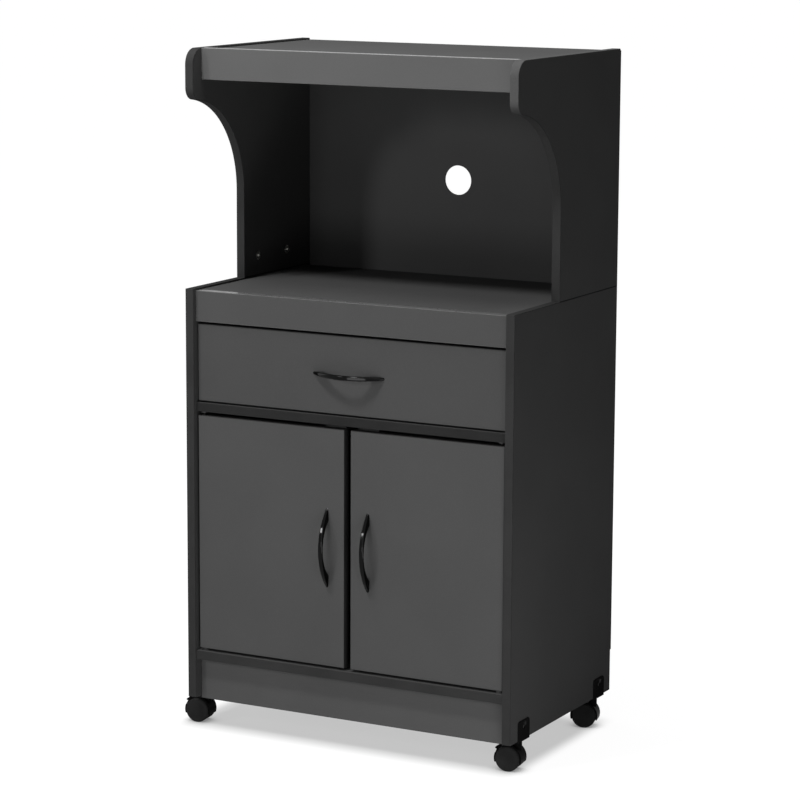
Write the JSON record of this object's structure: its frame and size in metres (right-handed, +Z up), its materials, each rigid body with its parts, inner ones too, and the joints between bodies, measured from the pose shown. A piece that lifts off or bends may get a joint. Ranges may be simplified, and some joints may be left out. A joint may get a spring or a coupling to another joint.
{
  "type": "microwave cart",
  "caption": "Rolling kitchen cart with an open microwave hutch above, a bow-handled drawer and a two-door cupboard, in dark laminate on twin-wheel casters.",
  "frame": {"origin": "on the floor, midway between the stems of the four casters, which is midway across the cabinet and midway along the lower side panels", "axes": "+X to the right seen from the front, +Y towards the back panels, +Z up"},
  "size_m": [0.6341, 0.402, 1.134],
  "materials": {
    "charcoal_laminate": "satin charcoal melamine over particle board",
    "back_board": "thin hardboard, satin charcoal face",
    "drawer_laminate": "satin charcoal foil over particle board",
    "handle_metal": "polished black chrome over zinc casting",
    "zinc_steel": "bright zinc plate",
    "dowel_wood": "plain beech",
    "runner_steel": "white epoxy coat",
    "nylon": "plain nylon",
    "catch_plastic": "matt black plastic",
    "bracket_steel": "semi-gloss black coat",
    "caster_plastic": "semi-gloss black nylon",
    "wheel_plastic": "satin black nylon"
  },
  "bodies": {
    "cabinet": {"left_side_panel": "charcoal_laminate", "right_side_panel": "charcoal_laminate", "worktop": "charcoal_laminate", "worktop_fascia": "charcoal_laminate", "drawer_divider": "charcoal_laminate", "bottom_board": "charcoal_laminate", "toe_board": "charcoal_laminate", "cupboard_shelf": "charcoal_laminate", "hutch_left_panel": "charcoal_laminate", "hutch_right_panel": "charcoal_laminate", "hutch_top_board": "charcoal_laminate", "hutch_fascia": "charcoal_laminate", "lower_back_panel": "back_board", "hutch_back_panel": "back_board", "cam_locks": "zinc_steel", "cam_bolts": "zinc_steel", "back_panel_screws": "zinc_steel", "cabinet_fasteners": "zinc_steel", "shelf_pins": "zinc_steel", "wood_dowels": "dowel_wood", "left_cabinet_runner": "runner_steel", "right_cabinet_runner": "runner_steel", "door_catches": "catch_plastic", "door_pivot_bushes": "catch_plastic", "caster_brackets": "bracket_steel"},
    "cabinet_rollers": {"cabinet_rollers": "nylon"},
    "drawer": {"drawer_front": "charcoal_laminate", "drawer_left_side": "drawer_laminate", "drawer_right_side": "drawer_laminate", "drawer_back": "drawer_laminate", "drawer_bottom": "back_board", "drawer_handle": "handle_metal", "drawer_fasteners": "zinc_steel", "left_drawer_runner": "runner_steel", "right_drawer_runner": "runner_steel"},
    "drawer_rollers": {"drawer_rollers": "nylon"},
    "left_door": {"left_door": "charcoal_laminate", "left_door_handle": "handle_metal", "left_door_pins": "bracket_steel", "left_door_screws": "zinc_steel", "left_door_strike": "zinc_steel"},
    "right_door": {"right_door": "charcoal_laminate", "right_door_handle": "handle_metal", "right_door_pins": "bracket_steel", "right_door_screws": "zinc_steel", "right_door_strike": "zinc_steel"},
    "front_left_caster": {"front_left_caster_hood": "caster_plastic"},
    "front_left_wheels": {"front_left_caster_wheels": "wheel_plastic", "front_left_caster_axle": "bracket_steel"},
    "front_left_brake": {"front_left_brake_lever": "caster_plastic"},
    "front_right_caster": {"front_right_caster_hood": "caster_plastic"},
    "front_right_wheels": {"front_right_caster_wheels": "wheel_plastic", "front_right_caster_axle": "bracket_steel"},
    "front_right_brake": {"front_right_brake_lever": "caster_plastic"},
    "rear_left_caster": {"rear_left_caster_hood": "caster_plastic"},
    "rear_left_wheels": {"rear_left_caster_wheels": "wheel_plastic", "rear_left_caster_axle": "bracket_steel"},
    "rear_right_caster": {"rear_right_caster_hood": "caster_plastic"},
    "rear_right_wheels": {"rear_right_caster_wheels": "wheel_plastic", "rear_right_caster_axle": "bracket_steel"}
  },
  "joints": [
    {"name": "drawer_slide", "type": "slide", "parent": "cabinet", "child": "drawer", "axis": [0, -1, 0], "range_m": [0, 0.25]},
    {"name": "cabinet_roller_spin", "type": "hinge", "parent": "cabinet", "child": "cabinet_rollers", "pos_m": [0, -0.151, 0.5712], "axis": [1, 0, 0], "range_deg": [0, 1690]},
    {"name": "drawer_roller_spin", "type": "hinge", "parent": "drawer", "child": "drawer_rollers", "pos_m": [0, 0.1695, 0.57065], "axis": [1, 0, 0], "range_deg": [0, 1690]},
    {"name": "left_door_hinge", "type": "hinge", "parent": "cabinet", "child": "left_door", "pos_m": [-0.2734, -0.176, 0.3355], "axis": [0, 0, -1], "range_deg": [0, 100]},
    {"name": "right_door_hinge", "type": "hinge", "parent": "cabinet", "child": "right_door", "pos_m": [0.2734, -0.176, 0.3355], "axis": [0, 0, 1], "range_deg": [0, 100]},
    {"name": "front_left_swivel", "type": "hinge", "parent": "cabinet", "child": "front_left_caster", "pos_m": [-0.2915, -0.144, 0.047], "axis": [0, 0, 1], "continuous": true},
    {"name": "front_left_wheel_spin", "type": "hinge", "parent": "front_left_caster", "child": "front_left_wheels", "pos_m": [-0.30463, -0.14538, 0.0205], "axis": [0.1045, -0.9945, 0], "continuous": true},
    {"name": "front_left_brake_press", "type": "hinge", "parent": "front_left_caster", "child": "front_left_brake", "pos_m": [-0.32061, -0.14706, 0.03899], "axis": [0.1045, -0.9945, 0], "range_deg": [0, 3]},
    {"name": "front_right_swivel", "type": "hinge", "parent": "cabinet", "child": "front_right_caster", "pos_m": [0.2915, -0.144, 0.047], "axis": [0, 0, 1], "continuous": true},
    {"name": "front_right_wheel_spin", "type": "hinge", "parent": "front_right_caster", "child": "front_right_wheels", "pos_m": [0.27837, -0.14538, 0.0205], "axis": [0.1045, -0.9945, 0], "continuous": true},
    {"name": "front_right_brake_press", "type": "hinge", "parent": "front_right_caster", "child": "front_right_brake", "pos_m": [0.26239, -0.14706, 0.03899], "axis": [0.1045, -0.9945, 0], "range_deg": [0, 3]},
    {"name": "rear_left_swivel", "type": "hinge", "parent": "cabinet", "child": "rear_left_caster", "pos_m": [-0.2915, 0.144, 0.047], "axis": [0, 0, 1], "continuous": true},
    {"name": "rear_left_wheel_spin", "type": "hinge", "parent": "rear_left_caster", "child": "rear_left_wheels", "pos_m": [-0.3045, 0.14171, 0.0205], "axis": [0.1736, -0.9848, 0], "continuous": true},
    {"name": "rear_right_swivel", "type": "hinge", "parent": "cabinet", "child": "rear_right_caster", "pos_m": [0.2915, 0.144, 0.047], "axis": [0, 0, 1], "continuous": true},
    {"name": "rear_right_wheel_spin", "type": "hinge", "parent": "rear_right_caster", "child": "rear_right_wheels", "pos_m": [0.27869, 0.14081, 0.0205], "axis": [0.2419, -0.9703, 0], "continuous": true}
  ],
  "couplings": [
    {"joint": "cabinet_roller_spin", "follows": "drawer_slide", "rad_per_m": 117.65},
    {"joint": "drawer_roller_spin", "follows": "drawer_slide", "rad_per_m": 117.65}
  ]
}
